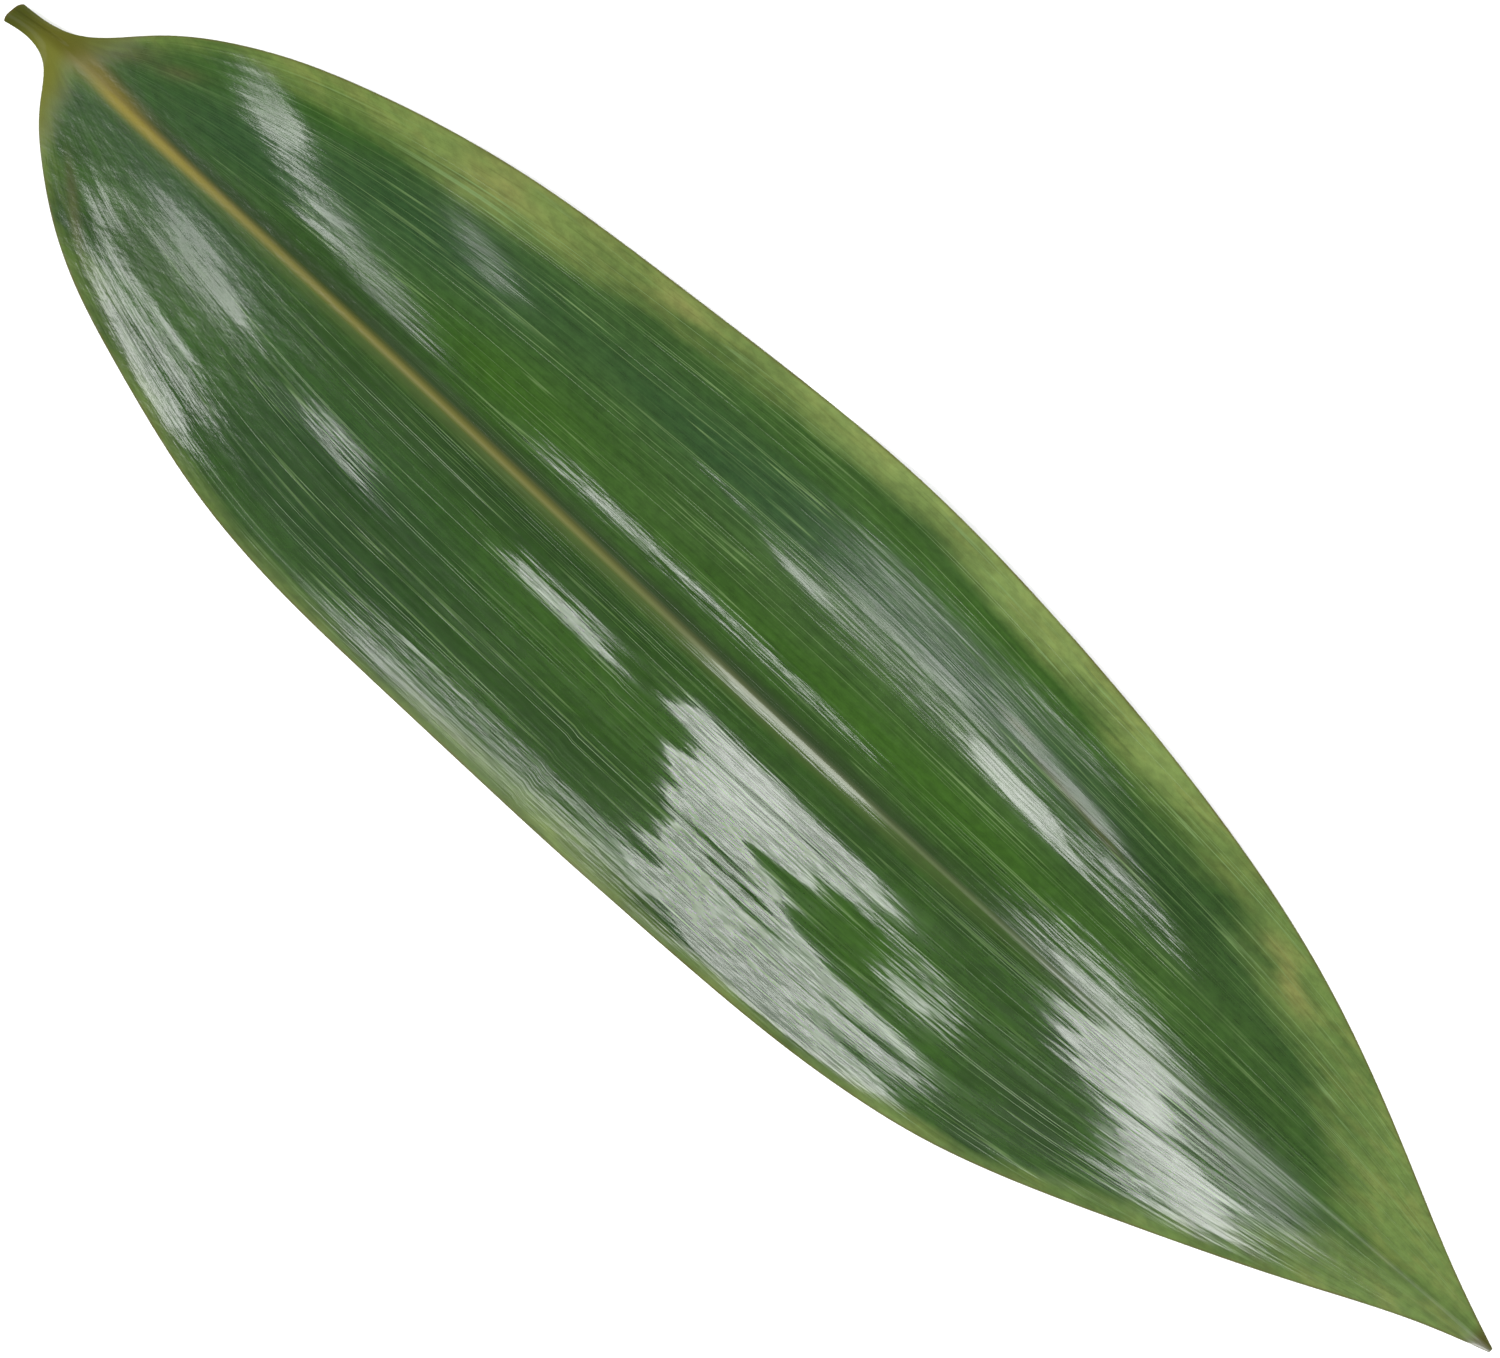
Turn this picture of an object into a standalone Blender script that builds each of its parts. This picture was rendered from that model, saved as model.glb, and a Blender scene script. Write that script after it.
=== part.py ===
"""Bamboo leaf: one broad blade with its midrib, parallel veins and short stalk, lying face up.

Metres, +Z up. The leaf lies along X with the stalk at -X and the tip at +X. The surface it rests on is
Z = 0, and the origin is at the middle of the footprint on that surface.
"""
import bpy
import bmesh
import numpy as np

MM = 0.001

# Overall length from the cut end of the stalk to the tip.
LENGTH = 330 * MM

# Outline of the leaf, in millimetres: distance from the cut end, then how far the margin reaches to the
# -Y side and to the +Y side of the straight line from cut end to tip.
OUTLINE = (
    (0.0, 2.3, 2.0),
    (7.9, 2.1, 2.9),
    (10.7, 3.9, 4.0),
    (14.0, 8.4, 6.3),
    (19.8, 14.6, 12.1),
    (31.3, 23.1, 20.7),
    (51.1, 31.6, 29.3),
    (80.8, 39.5, 36.7),
    (117.1, 42.0, 40.7),
    (160.0, 42.5, 43.3),
    (199.5, 41.8, 40.9),
    (239.1, 36.4, 34.8),
    (268.8, 25.9, 27.0),
    (298.5, 13.2, 14.4),
    (318.3, 4.4, 5.1),
    (330.0, 0.60, 0.75),
)

# The midrib, in millimetres: distance from the cut end, how far it strays to the +Y side, its half width,
# the height of its back above the surface, and how far the rib below stands out from the blade.
MIDRIB = (
    (0.0, 0.0, 1.5, 4.10, 2.30),
    (8.0, 1.2, 1.5, 4.05, 2.10),
    (20.0, 1.0, 1.35, 4.05, 1.75),
    (50.0, 0.4, 1.15, 4.35, 1.35),
    (90.0, -0.2, 0.95, 5.20, 1.10),
    (140.0, -1.2, 0.75, 6.10, 0.85),
    (200.0, -2.0, 0.60, 6.10, 0.60),
    (260.0, -1.6, 0.45, 4.70, 0.40),
    (310.0, -0.4, 0.30, 2.40, 0.20),
    (330.0, 0.1, 0.20, 1.40, 0.10),
)

# Thickness of the blade, half width of the rib below at its root, and depth of the channel on the stalk.
BLADE = 0.70 * MM
RIB_HALF = 2.3 * MM
CHANNEL = 0.28 * MM
STALK_END = 11 * MM

# How far the sides of the stalk fall below its back, and how far its cut end slants and rounds off.
FALL = 0.55 * MM
SLANT = 0.30 * MM
ROUNDED = 0.55 * MM

# Height of the midrib's back over the groove it lies in.
RIDGE = 0.28 * MM

# Raised veins on each side of the midrib, and the depth of the furrows between them.
VEINS = 10
FURROW = 0.28 * MM

# Near the stalk the veins leave the midrib one after another. This is the share of them that hasn't left
# it yet at the foot of the blade, the length over which the rest leave, and how gently each one does.
UNBRANCHED = 0.32
BRANCHING = 43 * MM
BRANCH_EASE = 0.20

# Lean across the blade where no swell raises it: distance from the cut end in millimetres, then the lean
# of the -Y half and of the +Y half in degrees, a rise toward +Y counting as positive. The margins rise and
# fall with it.
QUIET = (
    (0.0, 0.5, -3.0),
    (55.0, 0.4, -6.5),
    (95.0, 0.0, -5.0),
    (140.0, -0.3, -8.0),
    (185.0, -0.3, -11.5),
    (240.0, 0.3, -8.0),
    (290.0, 0.6, -5.0),
    (330.0, 0.0, -1.0),
)

# Lean of the sides of the groove along the midrib, in degrees, and its half width.
GROOVE_LEAN = 3.0
GROOVE = 4.0 * MM
GROOVE_END = 295 * MM

# Swells of the blade, each a four-cornered field where it leans toward -Y. The corners are given as
# distance from the cut end and distance to the +Y side, in millimetres: first the near and far end of the
# side toward +Y, then of the side toward -Y. Then come the lean in degrees and the softness of the near
# and far ends and of the sides toward +Y and -Y, in millimetres.
SWELLS = (
    # Foot of the blade, beside the midrib.
    ((40, -4.5), (60, -9.5), (38, -10.5), (62, -15.5), 8.6, (8, 10), (3.0, 2.4)),
    # Foot of the blade, along the margin.
    ((34, -16.5), (70, -24.5), (34, -23.0), (76, -40.0), 9.0, (8, 9), (2.6, 3.0)),
    # Long sag of the margin before the middle.
    ((108, -33.0), (182, -34.0), (108, -46.0), (182, -46.0), 5.4, (12, 12), (3.5, 3.0)),
    # The broad lean past the middle.
    ((155, -9.2), (206, -11.0), (167, -20.0), (200, -19.0), 9.8, (3, 10), (0.9, 1.5)),
    ((162, -10.5), (206, -11.0), (177, -46.0), (240, -46.0), 9.8, (3.5, 12), (1.2, 2.0)),
    # The lean across the midrib toward the tip, and its stronger part in the -Y half.
    ((222, 6.6), (257, 6.0), (226, -2.6), (268, -2.4), 9.2, (16, 12), (2.2, 1.8)),
    ((235, -4.6), (272, -0.5), (250, -13.0), (279, -13.6), 10.2, (11, 10), (2.0, 2.4)),
    ((258, -10.0), (290, -8.5), (264, -22.0), (292, -18.0), 7.8, (9, 10), (3.0, 2.4)),
    # Fold that runs from the +Y margin of the foot down to the midrib.
    ((33, 22.0), (56, 15.6), (33, 13.8), (57, 8.0), 9.8, (9, 10), (2.6, 2.6)),
    ((52, 14.0), (92, 6.0), (56, 7.5), (92, 1.5), 7.0, (9, 14), (2.4, 2.4)),
    # Rise beside the midrib.
    ((110, 7.4), (191, 5.8), (110, 3.6), (191, 2.6), 7.0, (14, 16), (1.4, 1.6)),
    # Rises along the middle of the +Y half.
    ((155, 33.0), (200, 32.0), (155, 14.0), (200, 14.0), 5.6, (16, 16), (6.0, 5.0)),
    ((190, 22.5), (226, 17.5), (203, 13.6), (246, 11.4), 9.6, (10, 14), (3.2, 1.4)),
)

# Least width of a field, in millimetres, where its sides would cross beyond its ends.
THIN = 0.5

# How far the leaf has sagged onto the surface after first touching it. What would pass through the surface
# is pressed flat against it.
SAG = 0.70 * MM

# Mesh: the far end of each stretch along the leaf, in millimetres, with its number of steps, and the steps
# across half the midrib.
STRETCHES = ((7.9, 3), (20.0, 8), (50.0, 7), (285.0, 25), (330.0, 7))
RIB_STEPS = 2

# Points across each half at which its lean is summed.
LEAN_SAMPLES = 240


def smooth_curve(knots, values, at):
    """The natural cubic curve through the given points."""
    knots = np.asarray(knots, float)
    values = np.asarray(values, float)
    gaps = np.diff(knots)
    rises = np.diff(values) / gaps
    count = len(knots)
    system = np.eye(count)
    right = np.zeros(count)
    for k in range(1, count - 1):
        system[k, k - 1] = gaps[k - 1]
        system[k, k] = 2 * (gaps[k - 1] + gaps[k])
        system[k, k + 1] = gaps[k]
        right[k] = 6 * (rises[k] - rises[k - 1])
    bends = np.linalg.solve(system, right)
    place = np.clip(np.searchsorted(knots, at, side="right") - 1, 0, count - 2)
    step = at - knots[place]
    gap = gaps[place]
    first = rises[place] - gap * (2 * bends[place] + bends[place + 1]) / 6
    third = (bends[place + 1] - bends[place]) / (6 * gap)
    return values[place] + step * (first + step * (bends[place] / 2 + step * third))


def ease(x):
    """Smooth step from 0 at -1 to 1 at +1."""
    t = np.clip((x + 1) / 2, 0, 1)
    return t * t * (3 - 2 * t)


def table(rows, column, along):
    """One column of a table, as a smooth curve of the distance from the cut end."""
    knots = [row[0] * MM for row in rows]
    values = [row[column] * MM for row in rows]
    return smooth_curve(knots, values, along)


def branch(share, along):
    """Where a vein lies between the midrib and the margin, 0 to 1, from its share of the veins."""
    left = UNBRANCHED * np.exp(-np.maximum(along - STALK_END, 0) / BRANCHING)
    left = left * ease((along - STALK_END) / (8 * MM))

    def bend(x):
        return (x + np.sqrt(x * x + BRANCH_EASE ** 2)) / 2

    return (bend(share - left) - bend(-left)) / (bend(1 - left) - bend(-left))


def field(along, across, swell):
    """1 inside a swell's four-cornered field, 0 outside, soft at the edges."""
    upper_near, upper_far, lower_near, lower_far, _, soft_ends, soft_sides = swell

    def line(near, far):
        run = (along / MM - near[0]) / (far[0] - near[0])
        return near[1] + run * (far[1] - near[1])

    upper = line(upper_near, upper_far)
    lower = line(lower_near, lower_far)
    y = across / MM
    share = (upper - y) / np.maximum(upper - lower, THIN)
    start = upper_near[0] + share * (lower_near[0] - upper_near[0])
    end = upper_far[0] + share * (lower_far[0] - upper_far[0])
    inside = ease((along / MM - start) / soft_ends[0]) * ease((end - along / MM) / soft_ends[1])
    return inside * ease((upper - y) / soft_sides[0]) * ease((y - lower) / soft_sides[1])


def rise(along, middle, reach, side, off):
    """Height of the blade over the midrib, summed from its lean, at distances off to one side of it."""
    quiet = smooth_curve([row[0] * MM for row in QUIET], [row[1 if side < 0 else 2] for row in QUIET], along)
    steps = np.linspace(0, 1, LEAN_SAMPLES)
    heights = np.empty_like(off)
    for row in range(len(along)):
        away = steps * reach[row]
        near = np.exp(-(away / GROOVE) ** 2) * ease((GROOVE_END - along[row]) / (20 * MM))
        lean = quiet[row] * (1 - near) + side * GROOVE_LEAN * near
        for swell in SWELLS:
            inside = field(along[row], middle[row] + side * away, swell)
            lean = lean + (swell[4] - lean) * inside
        grade = np.tan(np.radians(lean)) * side
        climb = np.concatenate(([0.0], np.cumsum((grade[1:] + grade[:-1]) / 2 * np.diff(away))))
        heights[row] = np.interp(off[row], away, climb)
    return heights


def stations():
    """Distances from the cut end at which the blade is drawn."""
    places = [0.0]
    for end, steps in STRETCHES:
        places.extend(np.linspace(places[-1], end * MM, steps + 1)[1:])
    return np.array(places)


def leaf_points():
    """Plan position, height and thickness at each station and column, from the -Y to the +Y margin."""
    along = stations()
    middle = table(MIDRIB, 1, along)
    rib = table(MIDRIB, 2, along)
    back = table(MIDRIB, 3, along)
    below = table(MIDRIB, 4, along)
    reach = {-1: table(OUTLINE, 1, along) + middle, 1: table(OUTLINE, 2, along) - middle}
    blade_steps = 2 * VEINS
    rib_share = np.arange(RIB_STEPS) / RIB_STEPS
    share = np.arange(blade_steps + 1) / blade_steps
    halves = {}
    for side in (-1, 1):
        edge = np.minimum(rib, reach[side] * 0.35)
        spread = branch(share[None, :], along[:, None])
        blade = edge[:, None] + (reach[side] - edge)[:, None] * spread
        off = np.hstack((edge[:, None] * rib_share[None, :], blade))
        height = rise(along, middle, reach[side], side, off)
        # Furrows between the veins, shallower where the blade is narrow.
        furrow = np.where(np.arange(blade_steps + 1) % 2 == 1, -1.0, 0.0)
        depth = FURROW * np.clip(reach[side] / (25 * MM) - 0.15, 0, 1)
        height[:, RIB_STEPS:] += depth[:, None] * furrow[None, :]
        # The midrib's back, and the channel that takes its place on the stalk.
        hump = np.cos(np.pi / 2 * np.clip(off / edge[:, None], 0, 1)) ** 2
        channel = 1 - ease((along - STALK_END) / (5 * MM))
        ridge = RIDGE * ease((GROOVE_END - along) / (20 * MM))
        height += hump * (ridge - (ridge + CHANNEL) * channel)[:, None]
        part = off / reach[side][:, None]
        height -= FALL * channel[:, None] * part ** 2
        root = np.minimum(RIB_HALF, reach[side] * 0.98)[:, None]
        bulge = np.sqrt(np.clip(1 - (off / root) ** 2, 0, 1))
        thick = BLADE + below[:, None] * bulge
        halves[side] = (middle[:, None] + side * off, back[:, None] + height, thick, side * part)
    joined = []
    for low, high in zip(halves[-1], halves[1]):
        joined.append(np.hstack((low[:, :0:-1], high)))
    across, top, thick, part = joined
    under = top - thick
    under = np.maximum(under - under.min() - SAG, 0)
    distance = np.repeat(along[:, None], across.shape[1], axis=1)
    x = distance - LENGTH / 2
    # The slanting, rounded cut end, which fades out along the stalk.
    x += (SLANT * (1 + part) + ROUNDED * part ** 4 - 0.6 * SLANT) * np.clip(1 - distance / STALK_END, 0, 1) ** 3
    y = across - (across.min() + across.max()) / 2
    return x, y, under + thick, thick


def make_leaf():
    """The blade as a flat sheet, thickened downward, then lifted to its heights."""
    x, y, top, thick = leaf_points()
    rows, columns = x.shape
    sheet = bmesh.new()
    bmesh.ops.create_grid(sheet, x_segments=rows - 1, y_segments=columns - 1, size=1)
    spots = []
    for vert in sheet.verts:
        row = round((vert.co.x + 1) / 2 * (rows - 1))
        column = round((vert.co.y + 1) / 2 * (columns - 1))
        spots.append((row, column))
        vert.co = (x[row, column], y[row, column], 0)
    bmesh.ops.triangulate(sheet, faces=sheet.faces[:], quad_method="ALTERNATE")
    mesh = bpy.data.meshes.new("bamboo_leaf")
    sheet.to_mesh(mesh)
    sheet.free()
    leaf = bpy.data.objects.new("bamboo_leaf", mesh)
    home = bpy.data.collections.new("bamboo leaf")
    bpy.context.scene.collection.children.link(home)
    home.objects.link(leaf)
    thickest = float(thick.max())
    weights = leaf.vertex_groups.new(name="thickness")
    for index, (row, column) in enumerate(spots):
        weights.add([index], float(thick[row, column]) / thickest, "REPLACE")
    shell = leaf.modifiers.new("thickness", "SOLIDIFY")
    shell.thickness = thickest
    shell.offset = -1
    shell.vertex_group = "thickness"
    bpy.context.view_layer.objects.active = leaf
    bpy.ops.object.modifier_apply(modifier=shell.name)
    for vert in leaf.data.vertices:
        row, column = spots[vert.index % len(spots)]
        vert.co.z += top[row, column]
    return leaf


def leaf_green():
    """Plain leaf green with a waxy gloss."""
    green = bpy.data.materials.new("leaf")
    green.use_nodes = True
    shader = green.node_tree.nodes["Principled BSDF"]
    shader.inputs["Base Color"].default_value = (0.055, 0.13, 0.028, 1)
    shader.inputs["Roughness"].default_value = 0.35
    green.diffuse_color = (0.055, 0.13, 0.028, 1)
    return green


for thing in list(bpy.data.objects):
    bpy.data.objects.remove(thing, do_unlink=True)
make_leaf().data.materials.append(leaf_green())
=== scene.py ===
"""Looks of the bamboo leaf: a fine blade with its veins, green tissue, waxy gloss, floor, light and camera.

Metres, +Z up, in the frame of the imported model: stalk at -X, tip at +X, resting on Z = 0.
"""
import math

import bmesh
import bpy
import numpy as np
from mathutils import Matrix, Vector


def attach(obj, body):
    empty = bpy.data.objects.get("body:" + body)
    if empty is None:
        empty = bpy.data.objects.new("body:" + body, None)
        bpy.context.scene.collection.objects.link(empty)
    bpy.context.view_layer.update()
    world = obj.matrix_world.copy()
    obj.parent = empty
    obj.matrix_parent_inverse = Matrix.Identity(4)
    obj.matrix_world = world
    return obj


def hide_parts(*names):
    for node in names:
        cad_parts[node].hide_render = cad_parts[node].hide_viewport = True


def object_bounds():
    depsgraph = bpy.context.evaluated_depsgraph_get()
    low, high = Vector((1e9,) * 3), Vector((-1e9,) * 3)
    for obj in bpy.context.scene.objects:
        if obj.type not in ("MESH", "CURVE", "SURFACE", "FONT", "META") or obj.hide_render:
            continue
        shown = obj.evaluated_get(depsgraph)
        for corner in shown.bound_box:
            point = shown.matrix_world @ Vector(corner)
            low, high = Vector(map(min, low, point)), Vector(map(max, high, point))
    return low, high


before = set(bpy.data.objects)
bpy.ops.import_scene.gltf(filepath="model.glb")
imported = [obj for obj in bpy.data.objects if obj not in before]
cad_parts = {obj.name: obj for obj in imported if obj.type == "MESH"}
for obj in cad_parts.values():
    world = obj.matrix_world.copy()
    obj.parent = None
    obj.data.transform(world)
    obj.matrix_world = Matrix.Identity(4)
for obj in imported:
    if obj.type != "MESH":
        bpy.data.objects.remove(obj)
cad_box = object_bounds()

MM = 0.001
LENGTH = cad_box[1].x - cad_box[0].x

# Outline of the leaf, in millimetres: distance from the cut end, then how far the margin reaches to the
# -Y side and to the +Y side of the straight line from cut end to tip.
OUTLINE = (
    (0.0, 2.3, 2.0),
    (7.9, 2.1, 2.9),
    (10.7, 3.9, 4.0),
    (14.0, 8.4, 6.3),
    (19.8, 14.6, 12.1),
    (31.3, 23.1, 20.7),
    (51.1, 31.6, 29.3),
    (80.8, 39.5, 36.7),
    (117.1, 42.0, 40.7),
    (160.0, 42.5, 43.3),
    (199.5, 41.8, 40.9),
    (239.1, 36.4, 34.8),
    (268.8, 25.9, 27.0),
    (298.5, 13.2, 14.4),
    (318.3, 4.4, 5.1),
    (330.0, 0.38, 0.45),
)

# The midrib, in millimetres: distance from the cut end, how far it strays to the +Y side, its half width,
# the height of its back above the surface, and how far the rib below stands out from the blade.
MIDRIB = (
    (0.0, 0.0, 1.5, 4.10, 2.30),
    (8.0, 1.2, 1.5, 4.05, 2.10),
    (20.0, 1.0, 1.35, 4.05, 1.75),
    (50.0, 0.4, 1.15, 4.35, 1.35),
    (90.0, -0.2, 0.95, 5.20, 1.10),
    (140.0, -1.2, 0.75, 6.10, 0.85),
    (200.0, -2.0, 0.60, 6.10, 0.60),
    (260.0, -1.6, 0.45, 4.70, 0.40),
    (310.0, -0.4, 0.30, 2.40, 0.20),
    (330.0, 0.1, 0.20, 1.40, 0.10),
)

# Thickness of the blade and of its margin, half width of the rib below, and the channel on the stalk.
BLADE = 0.50 * MM
MARGIN = 0.42 * MM
RIB_HALF = 2.3 * MM
CHANNEL = 0.28 * MM
STALK_END = 11 * MM

# Half the width over which the margin thickens into the blade, and half the length over which the channel
# runs out.
MARGIN_EASE = 1.2 * MM
CHANNEL_EASE = 5 * MM

# Largest share of a half's reach that the midrib, the rib below and a step at the margin take up.
MIDRIB_MOST = 0.35
RIB_MOST = 0.98
STEP_MOST = 0.1

# How far the sides of the stalk fall below its back, and how far its cut end slants and rounds off.
FALL = 0.55 * MM
SLANT = 0.30 * MM
ROUNDED = 0.55 * MM

# Height of the midrib's back over the groove it lies in, at its foot and past the middle of the leaf.
RIDGE = (0.09 * MM, 0.03 * MM)

# Where along the leaf it is halfway between the two, and half the length that the change takes.
RIDGE_SINKS = (110 * MM, 45 * MM)

# Raised veins on each side of the midrib, and the depth of the furrows between them.
VEINS = 10
FURROW = 0.02 * MM

# Reach of a half over which the furrows deepen, and the share of it at which they begin.
FURROW_FADE = 25 * MM
FURROW_START = 0.15

# Near the stalk the veins leave the midrib one after another. This is the share of them that hasn't left
# it yet at the foot of the blade, the length over which the rest leave, how gently each one does, and half
# the length over which the branching sets in.
UNBRANCHED = 0.32
BRANCHING = 43 * MM
BRANCH_EASE = 0.20
BRANCH_START = 8 * MM

# The widest reach of a half, how the veins run out at the margin past it (with 1 all of them would, with 0
# none), and the distance from the cut end at which they begin to.
WIDEST = 42 * MM
CROWDING = 0.45
CROWDED_FROM = 150 * MM

# Lean across the blade where no swell raises it: distance from the cut end in millimetres, then the lean
# of the -Y half and of the +Y half in degrees, a rise toward +Y counting as positive.
QUIET = (
    (0.0, 0.5, -3.0),
    (55.0, 0.4, -6.5),
    (95.0, 0.0, -5.0),
    (140.0, -0.3, -8.0),
    (185.0, -0.3, -11.5),
    (240.0, 0.3, -8.0),
    (290.0, 0.6, -5.0),
    (330.0, 0.0, -1.0),
)

# Lean of the -Y side and of the +Y side of the groove along the midrib, in degrees, its half width, where it
# ends, and half the length over which it fades there.
GROOVE_LEAN = {-1: 3.0, 1: 1.2}
GROOVE = 4.0 * MM
GROOVE_END = 295 * MM
GROOVE_EASE = 20 * MM

# Swells of the blade, each a four-cornered field where it leans toward -Y. The corners are given as
# distance from the cut end and distance to the +Y side, in millimetres: first the near and far end of the
# side toward +Y, then of the side toward -Y. Then come the lean in degrees and the softness of the near
# and far ends and of the sides toward +Y and -Y, in millimetres.
SWELLS = (
    # Foot of the blade, beside the midrib.
    ((40, -4.5), (60, -9.5), (38, -10.5), (62, -15.5), 8.6, (9, 11), (3.4, 3.4)),
    # Foot of the blade, along the margin.
    ((34, -16.5), (67, -23.8), (34, -23.0), (72, -39.0), 9.0, (8, 10), (2.8, 3.0)),
    # Long sag of the margin before the middle.
    ((108, -33.0), (182, -34.0), (108, -46.0), (182, -46.0), 4.7, (12, 12), (3.5, 3.0)),
    # The broad lean past the middle.
    ((155, -8.3), (206, -10.3), (167, -20.0), (200, -19.0), 9.8, (3, 12), (0.9, 1.5)),
    ((162, -10.0), (206, -10.6), (177, -46.0), (228, -46.0), 9.6, (3.5, 16), (1.2, 2.0)),
    # The lean across the midrib toward the tip, and its stronger part in the -Y half.
    ((222, 6.6), (254, 6.0), (226, -2.6), (264, -2.4), 8.4, (16, 13), (2.8, 2.2)),
    ((235, -4.6), (264, -0.5), (250, -13.0), (273, -13.6), 10.2, (11, 11), (2.4, 2.6)),
    ((258, -10.0), (288, -9.5), (264, -22.0), (290, -18.0), 7.4, (9, 12), (3.0, 2.6)),
    # Fold that runs from the +Y margin of the foot down to the midrib.
    ((33, 22.0), (56, 15.6), (33, 13.8), (57, 8.0), 10.0, (9, 11), (3.0, 3.0)),
    ((52, 14.0), (90, 7.6), (56, 8.0), (90, 4.0), 6.6, (9, 14), (2.6, 2.4)),
    # Rise beside the midrib.
    ((110, 7.4), (191, 5.8), (110, 3.6), (191, 2.6), 7.0, (14, 16), (1.4, 1.6)),
    # Rises along the middle of the +Y half.
    ((155, 33.0), (200, 32.0), (155, 14.0), (200, 14.0), 5.6, (16, 16), (6.0, 5.0)),
    ((186, 23.0), (226, 18.0), (199, 13.4), (244, 11.4), 9.1, (16, 16), (4.4, 1.6)),
)

# Lesser swells and hollows, too slight for the solid, in the same form.
RIPPLES = (
    # Hollows in the broad lean.
    ((196, -16.2), (212, -16.4), (194, -25.8), (220, -26.5), -1.0, (5, 7), (0.7, 1.6)),
    ((210, -16.4), (226, -16.8), (212, -22.5), (229, -23.0), 4.8, (6, 6), (1.2, 2.0)),
    ((181, -20.4), (197, -18.6), (181, -21.4), (197, -22.5), -1.0, (6, 3), (0.3, 0.5)),
    ((173, -23.9), (192, -24.1), (173, -24.9), (192, -25.4), 1.0, (5, 5), (0.3, 0.4)),
    ((157, -13.3), (215, -13.5), (157, -13.9), (218, -14.3), 2.0, (6, 8), (0.3, 0.3)),
    ((171, -28.3), (206, -28.4), (171, -28.9), (206, -29.1), 2.0, (5, 8), (0.3, 0.3)),
    ((214, -27.5), (229, -27.0), (208, -46.0), (233, -46.0), 6.9, (14, 8), (2.5, 2.0)),
    ((207, -29.8), (229, -28.9), (207, -30.6), (229, -30.0), 2.0, (6, 6), (0.4, 0.4)),
    ((207, -34.0), (230, -33.2), (207, -34.7), (230, -34.1), 3.0, (6, 6), (0.4, 0.4)),
    ((193, -31.6), (210, -31.5), (193, -32.1), (210, -32.2), 2.5, (5, 6), (0.3, 0.3)),
    # Streak along its far upper corner.
    ((200, -14.2), (222, -15.0), (200, -15.4), (224, -15.9), 9.0, (6, 8), (0.4, 0.4)),
    # Spot at the foot.
    ((30, -10.5), (37, -12.0), (30, -14.0), (38, -16.5), 7.4, (4, 4), (1.6, 1.6)),
    # Streaks at the end of the fold.
    ((57, 8.8), (82, 6.9), (59, 6.6), (84, 4.9), 8.2, (7, 14), (0.9, 1.2)),
    # Streaks beside the midrib in the -Y half.
    ((121, -9.2), (145, -10.2), (124, -13.4), (146, -13.9), 8.2, (5, 6), (0.9, 0.9)),
    ((80, -13.8), (97, -16.2), (82, -18.0), (99, -20.0), 6.0, (8, 8), (2.0, 2.0)),
    # Flank of the midrib.
    ((152, -1.2), (192, -1.7), (152, -3.2), (194, -3.6), 6.9, (12, 8), (0.4, 0.6)),
    # Streaks in the +Y half.
    ((132, 21.3), (146, 20.7), (132, 20.3), (146, 19.7), 8.6, (3, 4), (0.4, 0.4)),
    ((147, 20.4), (164, 19.4), (149, 17.6), (165, 16.8), 8.4, (6, 5), (0.8, 0.8)),
    ((73, 27.5), (94, 22.0), (73, 22.0), (94, 17.0), 5.2, (8, 8), (2.5, 2.5)),
    ((194, 27.2), (236, 21.4), (196, 23.2), (238, 18.4), 8.0, (10, 10), (1.4, 1.0)),
    ((196, 32.0), (226, 30.0), (196, 27.0), (226, 25.5), 5.2, (8, 10), (2.0, 2.0)),
    ((222, 20.0), (250, 17.0), (224, 15.0), (252, 12.0), 5.4, (10, 10), (2.0, 2.0)),
    # Faint lean in the tip.
    ((264, -0.5), (292, -1.0), (268, -9.0), (294, -9.0), 6.2, (10, 10), (2.0, 2.5)),
)

# Least width of a field, in millimetres, where its sides would cross beyond its ends.
THIN = 0.5

# Lean in degrees past which a field shines. One that leans less puts out the shine of those before it.
SHINING = 3

# Chance wandering of the lean: its size in degrees, its reach along the leaf in millimetres and how many
# times it changes across a half.
WANDER = ((0.9, 55.0, 6.0), (1.3, 32.0, 17.0), (1.6, 22.0, 40.0))

# The share of it off the swells, what the swells add to that, and the share that thick wax takes away.
LOOSE = 0.22
LOOSE_SWELL = 0.98
WAX_CALMS = 0.6

# Width of the margin that takes no part in the swells, and half the width over which they set in.
ROLLED = 1.7 * MM
ROLLED_EASE = 0.8 * MM

# How raggedly the swells end, in millimetres along the leaf, in the same form.
RAGGED = ((1.6, 80.0, 7.0), (1.6, 60.0, 21.0), (1.8, 45.0, 43.0))

# Seeds of both, the size of the grid of chance values, and where on it the leaf begins and each half lies.
WANDER_SEED = 1
RAGGED_SEED = 5
CHANCE_GRID = (64, 96)
CHANCE_START = 7.3
HALF_APART = 20.1
HALF_START = 31

# How far the leaf has sagged onto the surface after first touching it. What would pass through the surface
# is pressed flat against it.
SAG = 0.40 * MM

# Mesh: the far end of each stretch along the leaf, in millimetres, with its number of steps, the steps
# across half the midrib and across half the blade, and the distances from the margin of its last columns.
STRETCHES = ((7.9, 8), (20.0, 18), (50.0, 28), (300.0, 150), (330.0, 20))
RIB_STEPS = 5
BLADE_STEPS = 88
MARGIN_STEPS = (0.55 * MM, 0.22 * MM)

# Points across each half at which its lean is summed.
LEAN_SAMPLES = 480

# Edges that bend by more than this stay sharp.
SHARP = math.radians(55)

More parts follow.
